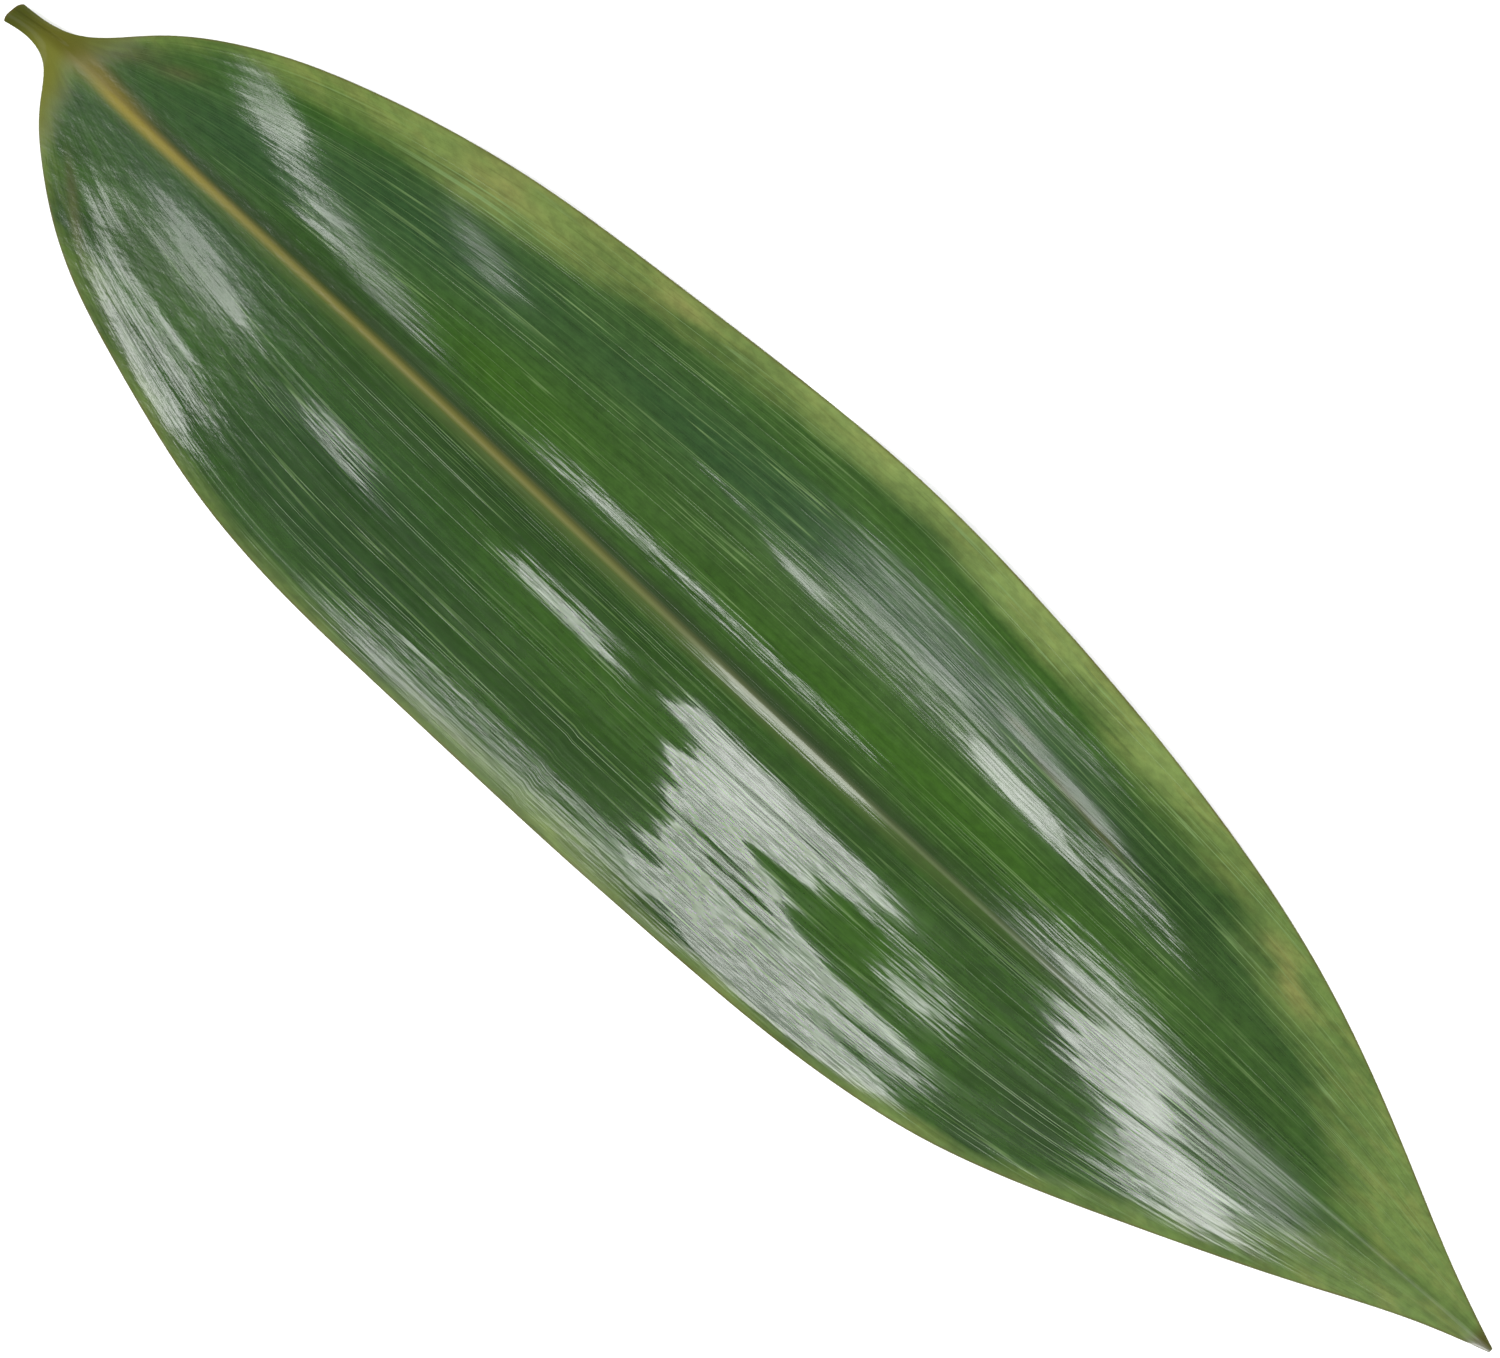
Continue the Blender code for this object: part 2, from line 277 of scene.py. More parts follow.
# Where the tissue is a brighter green than the rest: centre and half sizes in millimetres, and lean.
VIVID = (
    ((185, 31.5), (45, 4.5), -0.04),
    ((157, -27.0), (18, 8.0), 0.0),
    ((120, -15.0), (40, 9.0), -0.03),
    ((212, -20.0), (16, 6.0), 0.0),
    ((195, 7.0), (50, 4.0), 0.0),
    ((95, 8.0), (30, 8.0), 0.1),
    ((46, 20.0), (22, 4.0), 0.35),
)

# Where it is a cool, bluish dark green.
COOL = (
    ((45, 9.0), (26, 6.0), 0.10),
    ((75, 19.0), (30, 8.0), 0.10),
    ((45, -6.0), (24, 5.0), -0.15),
    ((200, 24.0), (50, 5.0), -0.08),
    ((95, -22.0), (28, 12.0), 0.0),
    ((140, 24.0), (35, 6.0), 0.0),
)

# Where it has turned olive or tan.
TAN = (
    ((80, 33.0), (7, 3.5), 0.2),
    ((101, 37.0), (6, 2.5), 0.1),
    ((114, 37.5), (7, 2.5), 0.1),
    ((262, 24.0), (7, 2.0), -0.4),
)

# Brown scars.
SCARS = (
    ((203, 23.9), (3.5, 0.4), -0.05),
    ((215, 21.2), (7, 0.6), -0.10),
    ((226, 19.6), (6, 0.5), -0.12),
)

# Where it is darkest.
DEEP = (
    ((115, -6.0), (52, 5.0), -0.01),
    ((75, 4.0), (26, 3.0), 0.0),
    ((152, -28.0), (22, 8.0), 0.0),
    ((100, -24.0), (26, 9.0), 0.0),
    ((235, 20.0), (18, 6.0), -0.2),
)

# Faint brown stains.
STAINS = (
    ((27.5, 10.7), (3.6, 1.5), 0.5),
    ((27.0, -15.0), (4.0, 1.2), -0.8),
    ((32.0, -19.5), (3.5, 1.0), -0.7),
    ((20.0, 8.0), (4.0, 2.0), 0.8),
)

# The ochre foot of the midrib on its +Y side.
OCHRE = (
    ((12.0, 1.6), (6.0, 2.2), 0.10),
    ((20.0, 1.7), (8.0, 1.2), -0.02),
)

# Where the gloss is softer.
SOFT = (
    ((12, 0.0), (13, 12.0), 0.0),
    ((45, -8.0), (24, 14.0), -0.2),
    ((72, 9.0), (18, 5.0), -0.2),
    ((40, 18.0), (8, 5.0), 0.0),
    ((84, 23.0), (13, 6.0), -0.2),
    ((172, 25.0), (32, 11.0), 0.0),
    ((216, 23.5), (20, 4.5), -0.12),
    ((140, -40.0), (34, 5.0), 0.0),
    ((284, -4.0), (15, 4.5), -0.05),
)

# Where the wax is thick and even.
WAX = (
    ((262, -7.5), (15, 6.0), -0.20),
    ((280, -14.0), (9, 4.5), -0.30),
    ((176, -14.0), (14, 5.0), 0.0),
    ((206, 16.5), (14, 3.5), -0.20),
)

# The yellow-green margin on the +Y side: distance from the cut end and width, in millimetres, and strength.
YELLOW = (
    (0.0, 2.0, 0.50),
    (20.0, 3.5, 0.55),
    (30.0, 4.5, 0.60),
    (40.0, 5.0, 0.95),
    (65.0, 8.0, 1.15),
    (90.0, 8.5, 1.20),
    (115.0, 6.0, 1.15),
    (160.0, 5.5, 1.00),
    (200.0, 6.5, 1.00),
    (240.0, 9.0, 0.92),
    (270.0, 11.5, 0.88),
    (300.0, 14.0, 0.88),
    (330.0, 14.0, 0.88),
)

# The yellow of the +Y side fades out over this share of its width, and sets in over this many millimetres on
# each side of the leaf's middle line.
BAND_EASE = 0.75
BAND_START = 5

# The yellow-green margin on the -Y side: its strength and its width in millimetres, then what widens it, the
# tip and two stretches, each with the width that it adds, where along the leaf, and half the length it takes.
LOW_BAND = (0.5, 2.2)
LOW_TIP = (5, 275, 30)
LOW_STRETCHES = ((2, 155, 30), (2, 42, 20))

# The yellow of the whole tip and of the foot: strength, where it is halfway, and half the length it takes.
TIP_YELLOW = (0.55, 302, 20)
FOOT_YELLOW = (0.5, 14, 8)

# The marks, by the names that the mesh gives them.
MARKS = {"soft": SOFT, "vivid": VIVID, "cool": COOL, "tan": TAN, "scar": SCARS, "stain": STAINS,
         "ochre": OCHRE, "deep": DEEP, "wax": WAX}


def smooth_curve(knots, values, at):
    """The natural cubic curve through the given points."""
    knots = np.asarray(knots, float)
    values = np.asarray(values, float)
    gaps = np.diff(knots)
    rises = np.diff(values) / gaps
    count = len(knots)
    system = np.eye(count)
    right = np.zeros(count)
    for k in range(1, count - 1):
        system[k, k - 1] = gaps[k - 1]
        system[k, k] = 2 * (gaps[k - 1] + gaps[k])
        system[k, k + 1] = gaps[k]
        right[k] = 6 * (rises[k] - rises[k - 1])
    bends = np.linalg.solve(system, right)
    place = np.clip(np.searchsorted(knots, at, side="right") - 1, 0, count - 2)
    step = at - knots[place]
    gap = gaps[place]
    first = rises[place] - gap * (2 * bends[place] + bends[place + 1]) / 6
    third = (bends[place + 1] - bends[place]) / (6 * gap)
    return values[place] + step * (first + step * (bends[place] / 2 + step * third))


def ease(x):
    """Smooth step from 0 at -1 to 1 at +1."""
    t = np.clip((x + 1) / 2, 0, 1)
    return t * t * (3 - 2 * t)


def table(rows, column, along):
    """One column of a table, as a smooth curve of the distance from the cut end."""
    knots = [row[0] * MM for row in rows]
    values = [row[column] * MM for row in rows]
    return smooth_curve(knots, values, along)


def branch(share, along):
    """Where a vein lies between the midrib and the margin, 0 to 1, from its share of the veins."""
    left = UNBRANCHED * np.exp(-np.maximum(along - STALK_END, 0) / BRANCHING)
    left = left * ease((along - STALK_END) / BRANCH_START)

    def bend(x):
        return (x + np.sqrt(x * x + BRANCH_EASE ** 2)) / 2

    return (bend(share - left) - bend(-left)) / (bend(1 - left) - bend(-left))


def field(along, across, swell):
    """1 inside a swell's four-cornered field, 0 outside, soft at the edges."""
    upper_near, upper_far, lower_near, lower_far, _, soft_ends, soft_sides = swell

    def line(near, far):
        run = (along / MM - near[0]) / (far[0] - near[0])
        return near[1] + run * (far[1] - near[1])

    upper = line(upper_near, upper_far)
    lower = line(lower_near, lower_far)
    y = across / MM
    share = (upper - y) / np.maximum(upper - lower, THIN)
    start = upper_near[0] + share * (lower_near[0] - upper_near[0])
    end = upper_far[0] + share * (lower_far[0] - upper_far[0])
    inside = ease((along / MM - start) / soft_ends[0]) * ease((end - along / MM) / soft_ends[1])
    return inside * ease((upper - y) / soft_sides[0]) * ease((y - lower) / soft_sides[1])


def wander(x, y, seed):
    """Smooth chance values around 0, one to each unit of x and y."""
    rows, columns = CHANCE_GRID
    grid = np.random.default_rng(seed).standard_normal(CHANCE_GRID)
    low_x, low_y = np.floor(x).astype(int), np.floor(y).astype(int)
    part_x, part_y = ease(2 * (x - low_x) - 1), ease(2 * (y - low_y) - 1)

    def at(step_x, step_y):
        return grid[(low_x + step_x) % rows, (low_y + step_y) % columns]

    near = at(0, 0) * (1 - part_y) + at(0, 1) * part_y
    far = at(1, 0) * (1 - part_y) + at(1, 1) * part_y
    return near * (1 - part_x) + far * part_x


def patch(along, across, at, size, lean):
    """A soft oval mark on the leaf. Its centre and half sizes are in millimetres, its lean is rise over run."""
    run = (along - at[0]) / size[0]
    rise_across = (across - at[1] - lean * (along - at[0])) / size[1]
    return np.exp(-(run ** 2 + rise_across ** 2))


def spread(rows, along, across):
    """How far each point lies on a mark made up of some ovals, from 0 to 1."""
    return np.clip(sum(patch(along, across, *row) for row in rows), 0, 1)


def crowding(reach):
    """Share of the veins that a half holds where it is narrower than at its widest place."""
    return (np.minimum(reach / WIDEST, 1)) ** CROWDING


def chance(rows, along, share, side, seed):
    """Sum of the chance values of some rows of size, reach along the leaf and count across a half."""
    total = 0
    for number, (size, run, count) in enumerate(rows):
        place = share * count + HALF_APART * side + HALF_START
        total = total + size * wander(along / MM / run + CHANCE_START, place, seed + number)
    return total


def rise(along, middle, reach, side, off):
    """Height of the blade over the midrib, summed from its lean, at distances off to one side of it.

    With it comes how much of a swell each point lies on, from 0 to 1.
    """
    quiet = smooth_curve([row[0] * MM for row in QUIET], [row[1 if side < 0 else 2] for row in QUIET], along)
    steps = np.linspace(0, 1, LEAN_SAMPLES)
    heights = np.empty_like(off)
    swollen = np.empty_like(off)
    for row in range(len(along)):
        away = steps * reach[row]
        across = middle[row] + side * away
        near = np.exp(-(away / GROOVE) ** 2) * ease((GROOVE_END - along[row]) / GROOVE_EASE)
        lean = quiet[row] * (1 - near) + side * GROOVE_LEAN[side] * near
        lane = steps * (crowding(reach[row]) if along[row] > CROWDED_FROM else 1)
        ragged = along[row] + chance(RAGGED, along[row], lane, side, RAGGED_SEED) * MM
        rolled = ease((reach[row] - away - ROLLED) / ROLLED_EASE)
        most = np.zeros_like(away)
        for swell in SWELLS + RIPPLES:
            inside = field(ragged, across, swell) * rolled
            lean = lean + (swell[4] - lean) * inside
            most = np.maximum(most, inside) if swell[4] > SHINING else most * (1 - inside)
        waxed = spread(WAX, along[row] / MM, across / MM)
        loose = (1 - near) * (LOOSE + LOOSE_SWELL * most) * (1 - WAX_CALMS * waxed)
        lean = lean + chance(WANDER, along[row], lane, side, WANDER_SEED) * loose
        grade = np.tan(np.radians(lean)) * side
        climb = np.concatenate(([0.0], np.cumsum((grade[1:] + grade[:-1]) / 2 * np.diff(away))))
        heights[row] = np.interp(off[row], away, climb)
        swollen[row] = np.interp(off[row], away, most)
    return heights, swollen


def stations():
    """Distances from the cut end at which the blade is drawn."""
    places = [0.0]
    for end, steps in STRETCHES:
        places.extend(np.linspace(places[-1], end * MM, steps + 1)[1:])
    return np.array(places)


def leaf_points():
    """Each grid point's place and thickness, with where it lies on the leaf, from the -Y to the +Y margin."""
    along = stations()
    middle = table(MIDRIB, 1, along)
    rib = table(MIDRIB, 2, along)
    back = table(MIDRIB, 3, along)
    below = table(MIDRIB, 4, along)
    reach = {-1: table(OUTLINE, 1, along) + middle, 1: table(OUTLINE, 2, along) - middle}
    rib_share = np.arange(RIB_STEPS) / RIB_STEPS
    share = np.arange(BLADE_STEPS) / BLADE_STEPS
    halves = {}
    for side in (-1, 1):
        edge = np.minimum(rib, reach[side] * MIDRIB_MOST)
        width = (reach[side] - edge)[:, None]
        last = np.minimum(MARGIN_STEPS[0], width * STEP_MOST)
        blade = edge[:, None] + (width - last) * branch(share[None, :], along[:, None])
        ends = [reach[side][:, None] - np.minimum(step, width * STEP_MOST * step / MARGIN_STEPS[0])
                for step in MARGIN_STEPS + (0.0,)]
        off = np.hstack([edge[:, None] * rib_share[None, :], blade] + ends)
        height, swollen = rise(along, middle, reach[side], side, off)
        # Which vein each point lies on: 0 at the midrib, 1 at the margin.
        vein = np.hstack([np.zeros((len(along), RIB_STEPS)), np.repeat(share[None, :], len(along), axis=0)]
                         + [np.ones((len(along), 1))] * len(ends))
        lane = np.where(along > CROWDED_FROM, crowding(reach[side]), 1)
        # Space between veins, against that at the widest place.
        step = np.gradient(off[:, RIB_STEPS:-len(ends)], axis=1) * BLADE_STEPS / WIDEST / lane[:, None]
        space = np.hstack([step[:, :1]] * RIB_STEPS + [step] + [step[:, -1:]] * len(ends))
        deep = np.clip(reach[side] / FURROW_FADE - FURROW_START, 0, 1)[:, None]
        depth = FURROW * deep * np.clip(space, 0, 1)
        height -= depth * (0.5 - 0.5 * np.cos(2 * np.pi * VEINS * vein))
        # The midrib's back, and the channel that takes its place on the stalk.
        hump = np.cos(np.pi / 2 * np.clip(off / edge[:, None], 0, 1)) ** 2
        channel = 1 - ease((along - STALK_END) / CHANNEL_EASE)
        ridge = RIDGE[0] + (RIDGE[1] - RIDGE[0]) * ease((along - RIDGE_SINKS[0]) / RIDGE_SINKS[1])
        ridge = ridge * ease((GROOVE_END - along) / GROOVE_EASE)
        height += hump * (ridge - (ridge + CHANNEL) * channel)[:, None]
        height -= FALL * channel[:, None] * (off / reach[side][:, None]) ** 2
        root = np.minimum(RIB_HALF, reach[side] * RIB_MOST)[:, None]
        bulge = np.sqrt(np.clip(1 - (off / root) ** 2, 0, 1))
        to_margin = reach[side][:, None] - off
        skin = MARGIN + (BLADE - MARGIN) * ease(to_margin / MARGIN_EASE - 1)
        halves[side] = (middle[:, None] + side * off, back[:, None] + height, skin + below[:, None] * bulge,
                        side * vein * lane[:, None], to_margin, side * off, space, swollen,
                        side * off / reach[side][:, None])
    joined = [np.hstack((low[:, :0:-1], high)) for low, high in zip(halves[-1], halves[1])]
    across, top, thick, vein, to_margin, off, space, swollen, part = joined
    under = top - thick
    under = np.maximum(under - under.min() - SAG, 0)
    distance = np.repeat(along[:, None], across.shape[1], axis=1)
    x = distance - LENGTH / 2
    # The slanting, rounded cut end, which fades out along the stalk.
    x += (SLANT * (1 + part) + ROUNDED * part ** 4 - 0.6 * SLANT) * np.clip(1 - distance / STALK_END, 0, 1) ** 3
    y = across - (across.min() + across.max()) / 2
    marks = {"along": distance / MM, "across": across / MM, "vein": vein, "margin": to_margin / MM,
             "off": off / MM, "space": space, "swollen": swollen}
    return x, y, under + thick, thick, marks


def tints(marks):
    """How far each point of the leaf takes each tint, from 0 to 1."""
    along, across, margin = marks["along"], marks["across"], marks["margin"]
    width, most = [np.interp(along, [row[0] for row in YELLOW], [row[k] for row in YELLOW]) for k in (1, 2)]
    band = ease((width * BAND_EASE - margin) / (width * BAND_EASE)) * most * ease(across / BAND_START)
    low_most, low_width = LOW_BAND
    low_width = low_width + LOW_TIP[0] * ease((along - LOW_TIP[1]) / LOW_TIP[2])
    for wider, at, half in LOW_STRETCHES:
        low_width = low_width + wider * np.exp(-((along - at) / half) ** 2)
    low_band = np.where(across > 0, 0, ease((low_width - margin) / low_width) * low_most)
    tip = ease((along - TIP_YELLOW[1]) / TIP_YELLOW[2]) * TIP_YELLOW[0]
    foot = ease((FOOT_YELLOW[1] - along) / FOOT_YELLOW[2]) * FOOT_YELLOW[0]
    marked = {name: spread(rows, along, across) for name, rows in MARKS.items()}
    return {"yellow": np.clip(band + low_band + tip + foot, 0, 1), **marked}


def make_leaf():
    """The blade as a flat sheet, thickened downward, then lifted to its heights."""
    x, y, top, thick, marks = leaf_points()
    rows, columns = x.shape
    sheet = bmesh.new()
    bmesh.ops.create_grid(sheet, x_segments=rows - 1, y_segments=columns - 1, size=1)
    spots = []
    for vert in sheet.verts:
        row = round((vert.co.x + 1) / 2 * (rows - 1))
        column = round((vert.co.y + 1) / 2 * (columns - 1))
        spots.append((row, column))
        vert.co = (x[row, column], y[row, column], 0)
    mesh = bpy.data.meshes.new("leaf_blade")
    sheet.to_mesh(mesh)
    sheet.free()
    leaf = bpy.data.objects.new("leaf_blade", mesh)
    bpy.context.scene.collection.objects.link(leaf)
    spots = np.array(spots)
    thickest = float(thick.max())
    weights = leaf.vertex_groups.new(name="thickness")
    for index, (row, column) in enumerate(spots):
        weights.add([index], float(thick[row, column]) / thickest, "REPLACE")
    shell = leaf.modifiers.new("thickness", "SOLIDIFY")
    shell.thickness = thickest
    shell.offset = -1
    shell.vertex_group = "thickness"
    bpy.context.view_layer.objects.active = leaf
    bpy.ops.object.modifier_apply(modifier=shell.name)
    leaf.vertex_groups.clear()
    mesh = leaf.data
    count = len(mesh.vertices)
    source = np.arange(count) % len(spots)
    at = (spots[source, 0], spots[source, 1])
    places = np.empty(count * 3)
    mesh.vertices.foreach_get("co", places)
    places[2::3] += top[at]
    mesh.vertices.foreach_set("co", places)
    for name, values in {**marks, **tints(marks)}.items():
        layer = mesh.attributes.new(name, "FLOAT", "POINT")
        layer.data.foreach_set("value", values[at].astype(np.float32))
    layer = mesh.attributes.new("under", "FLOAT", "POINT")
    layer.data.foreach_set("value", (np.arange(count) >= len(spots)).astype(np.float32))
    mesh.shade_smooth()
    mesh.set_sharp_from_angle(angle=SHARP)
    mesh.update()
    return leaf


# How bright a white surface would look under the lights.
BRIGHTNESS = 1.95

# Colours of the leaf as a screen shows them, from 0 to 255.
COLOURS = {
    # Blade, in dark and light patches, on the -Y side and on the lighter +Y side.
    "dark": (36, 66, 18),
    "light": (46, 82, 20),
    "dark_high": (47, 77, 29),
    "light_high": (60, 91, 38),
    # Marks.
    "vivid": (50, 89, 14),
    "cool": (38, 71, 36),
    "deep": (28, 60, 10),
    "tan": (138, 138, 78),
    "scar": (84, 80, 46),
    "stain": (86, 84, 50),
    # Yellow-green margin and tip.
    "ripe_foot": (102, 124, 54),
    "ripe_near": (114, 133, 68),
    "ripe_middle": (127, 147, 80),
    "ripe_tip": (103, 127, 63),
    "ripe_spots": (126, 134, 70),
    # Streaks and pale veins.
    "pale_streak": (84, 120, 56),
    "pale_hair": (90, 126, 66),
    "dark_hair": (30, 56, 20),
    "thread": (126, 156, 98),
    # Midrib, browner on its +Y flank, partly its own brown and partly painted shade, and the groove that it
    # lies in, with painted shade on its +Y side and painted light on its -Y side.
    "groove_painted_shade": (38, 56, 24),
    "groove_painted_light": (92, 106, 56),
    "ochre": (106, 98, 30),
    "rib_foot": (136, 123, 36),
    "rib_near": (116, 110, 34),
    "rib_far": (104, 112, 54),
    "rib_foot_brown_and_shade": (104, 88, 22),
    "rib_brown_and_shade": (74, 78, 26),
    # Line along the margin, dry tip, stalk with painted light on its -Y flank, and cut end.
    "margin": (94, 93, 46),
    "dry_tip": (76, 76, 30),
    "stalk_painted_light": (110, 112, 42),
    "stalk_back": (90, 90, 26),
    "stalk_high": (90, 91, 30),
    "stalk_end": (62, 68, 8),
    "cut_end": (96, 84, 40),
    "underside": (132, 152, 108),
}

# How much of each mark's colour shows where the mark is strongest.
MARK_STRENGTH = {"vivid": 0.9, "cool": 0.8, "deep": 0.8, "scar": 0.55, "stain": 0.55, "ochre": 0.9}

# Noises of the leaf: changes to a millimetre along it, the mark that they are spread over the other way,
# changes to a unit of that mark, then detail, roughness and seed.
PATTERNS = {
    "broad": (0.018, "vein", 9.0, 3.0, 0.55, 1.0),
    "fine": (0.05, "vein", 60.0, 2.0, 0.6, 4.0),
    "blotch": (0.042, "across", 0.12, 3.0, 0.5, 8.0),
    "spots": (0.10, "across", 0.30, 4.0, 0.6, 36.0),
    "grain": (0.35, "across", 0.7, 3.0, 0.65, 40.0),
    "thread_place": (0.0035, "vein", 13.0, 2.0, 0.7, 21.0),
    "thread_strength": (0.03, "vein", 22.0, 2.0, 0.6, 2.0),
    "streak": (0.04, "vein", 44.0, 3.0, 0.5, 11.0),
    "crinkle": (0.16, "vein", 40.0, 2.0, 0.5, 15.0),
    "crease_place": (0.007, "vein", 15.0, 2.0, 0.6, 27.0),
    "crease_strength": (0.035, "vein", 20.0, 1.0, 0.5, 31.0),
    "pucker": (0.22, "across", 0.40, 3.0, 0.55, 18.0),
    "worn": (0.12, "side", 1.0, 2.0, 0.6, 6.0),
}

# How many lines the threads and the creases make of each rise or fall of their noise.
THREAD_LINES = 8.0
CREASE_LINES = 7.0

# Where the +Y side's lighter green sets in, in millimetres across.
HIGH_SIDE = (-4.0, 12.0)

# Roughness of the blade, and what the soft patches, the stalk and the underside add. The midrib takes a share
# of what the stalk adds.
ROUGHNESS = (0.18, 0.22)
SOFT_ROUGHNESS = 0.12
STALK_ROUGHNESS = 0.60
UNDER_ROUGHNESS = 0.3
RIB_ROUGHENED = 0.3

# Reflection of the surface, how much of it the stalk lacks, and the midrib's share of that lack.
REFLECTION = 0.5
DULLED = 0.42
RIB_DULLED = 0.6

# Coat of wax on the blade, what it gains where it is thick, what bare places lack, and its roughness.
COAT = 0.35
THICK_COAT = 0.2
BARE_COAT = 0.3
COAT_ROUGHNESS = 0.08

# Fine relief, in millimetres: hair-fine veins with their number to each raised vein, threads, creases, streaks
# on quiet places and what the swells add to them, and the blotches at the foot.
HAIR_HEIGHT = 0.0005
HAIRS = 10
THREAD_HEIGHT = 0.010
CREASE_DEPTH = 0.022
STREAK_HEIGHT = 0.02
STREAK_SWELL = 0.21
PUCKER_HEIGHT = 0.16

# The middle of the streaks' noise, and how much of the crinkles' noise is added to it.
STREAK_MEAN = 0.75
CRINKLE_SHARE = 0.5

# How much of the streaks is lost where the gloss is soft, and where the wax is thick against that.
EVENED = 0.6
WAX_EVENED = 0.9


def colour(name):
    """The colour that looks like the named one on a screen, under the lights of this scene."""
    def linear(value):
        value = value / 255
        return (value / 12.92 if value <= 0.04045 else ((value + 0.055) / 1.055) ** 2.4) / BRIGHTNESS
    return (*[linear(value) for value in COLOURS[name]], 1.0)


class Nodes:
    """Short ways to add shader nodes to one material."""

    def __init__(self, name):
        self.material = bpy.data.materials.new(name)
        self.material.use_nodes = True
        self.tree = self.material.node_tree
        self.shader = self.tree.nodes["Principled BSDF"]
        self.made = {}

    def feed(self, socket, value):
        if isinstance(value, bpy.types.NodeSocket):
            self.tree.links.new(value, socket)
        else:
            socket.default_value = value

    def mark(self, name):
        """A named mark of the mesh, or the side of the midrib as -1 or 1."""
        if name not in self.made:
            if name == "side":
                self.made[name] = self.math("SIGN", self.mark("off"))
            else:
                node = self.tree.nodes.new("ShaderNodeAttribute")
                node.attribute_name = name
                self.made[name] = node.outputs["Fac"]
        return self.made[name]

    def pattern(self, name):
        """A named noise of the leaf, between 0 and 1."""
        if name not in self.made:
            run, mark, count, detail, roughness, seed = PATTERNS[name]
            join = self.tree.nodes.new("ShaderNodeCombineXYZ")
            places = (self.times(self.mark("along"), run), self.times(self.mark(mark), count), seed)
            for socket, value in zip(join.inputs, places):
                self.feed(socket, value)
            node = self.tree.nodes.new("ShaderNodeTexNoise")
            node.inputs["Scale"].default_value = 1.0
            node.inputs["Detail"].default_value = detail
            node.inputs["Roughness"].default_value = roughness
            self.tree.links.new(join.outputs[0], node.inputs["Vector"])
            self.made[name] = node.outputs["Fac"]
        return self.made[name]

    def math(self, operation, first, second=0.0, third=0.0, clamp=False):
        node = self.tree.nodes.new("ShaderNodeMath")
        node.operation = operation
        node.use_clamp = clamp
        for socket, value in zip(node.inputs, (first, second, third)):
            self.feed(socket, value)
        return node.outputs[0]

    def times(self, first, *others):
        """The product of some values."""
        for other in others:
            first = self.math("MULTIPLY", first, other)
        return first

    def ramp(self, value, low, high, to_low=0.0, to_high=1.0):
        """Smooth step of value from low to high."""
        node = self.tree.nodes.new("ShaderNodeMapRange")
        node.interpolation_type = "SMOOTHSTEP"
        for name, number in (("Value", value), ("From Min", low), ("From Max", high), ("To Min", to_low),
                             ("To Max", to_high)):
            self.feed(node.inputs[name], number)
        return node.outputs["Result"]

    def mix(self, amount, first, second, blend="MIX"):
        node = self.tree.nodes.new("ShaderNodeMix")
        node.data_type = "RGBA"
        node.blend_type = blend
        self.feed(node.inputs["Factor"], amount)
        self.feed(node.inputs["A"], first)
        self.feed(node.inputs["B"], second)
        return node.outputs["Result"]

    def tint(self, amount, base, name):
        """A colour with some of a named one mixed in."""
        return self.mix(amount, base, colour(name))

    def tint_mark(self, base, name):
        """A colour with that of a mark mixed in where the mark lies."""
        return self.tint(self.times(self.mark(name), MARK_STRENGTH[name]), base, name)

    def changing(self, first, *changes):
        """A colour that changes along the leaf. Each change has a name and where it begins and ends."""
        mixed = colour(first)
        for name, start, end in changes:
            mixed = self.tint(self.ramp(self.mark("along"), start, end), mixed, name)
        return mixed


def blade_green(n):
    """Patchy green of the blade, with its marks and the riper margin."""
    blotch, broad = n.pattern("blotch"), n.pattern("broad")
    patches = n.ramp(blotch, 0.3, 0.7)
    low = n.mix(patches, colour("dark"), colour("light"))
    high = n.mix(patches, colour("dark_high"), colour("light_high"))
    green = n.mix(n.ramp(n.mark("across"), *HIGH_SIDE), low, high)
    for name in ("vivid", "cool", "deep"):
        green = n.tint_mark(green, name)
    mottle = n.math("MULTIPLY_ADD", n.math("SUBTRACT", blotch, 0.5), 1.2, n.math("SUBTRACT", broad, 0.5))
    yellow = n.math("MULTIPLY_ADD", mottle, 1.1, n.mark("yellow"), clamp=True)
    yellow = n.times(yellow, n.ramp(n.mark("yellow"), 0.0, 0.3))
    ripe = n.changing("ripe_foot", ("ripe_near", 30.0, 70.0), ("ripe_middle", 110.0, 150.0),
                      ("ripe_tip", 190.0, 280.0))
    ripe = n.tint(n.ramp(n.pattern("spots"), 0.42, 0.66, 0.0, 0.5), ripe, "ripe_spots")
    green = n.mix(yellow, green, ripe)
    green = n.tint(n.times(n.mark("tan"), n.ramp(blotch, 0.35, 0.6)), green, "tan")
    for name in ("scar", "stain"):
        green = n.tint_mark(green, name)
    return green


def thread_mask(n):
    """Pale veins: thin lines at chance places across, fading in and out along the leaf."""
    phase = n.math("PINGPONG", n.times(n.pattern("thread_place"), THREAD_LINES), 0.5)
    return n.times(n.ramp(phase, 0.09, 0.0),
                   n.ramp(n.pattern("thread_strength"), 0.38, 0.62, 0.08, 0.85),
                   n.ramp(n.mark("margin"), 0.4, 2.0),
                   n.ramp(n.math("ABSOLUTE", n.mark("off")), 0.6, 1.6),
                   n.ramp(n.mark("along"), 20.0, 80.0, 0.25, 1.0),
                   n.ramp(n.mark("swollen"), 0.4, 1.0, 1.0, 0.3))


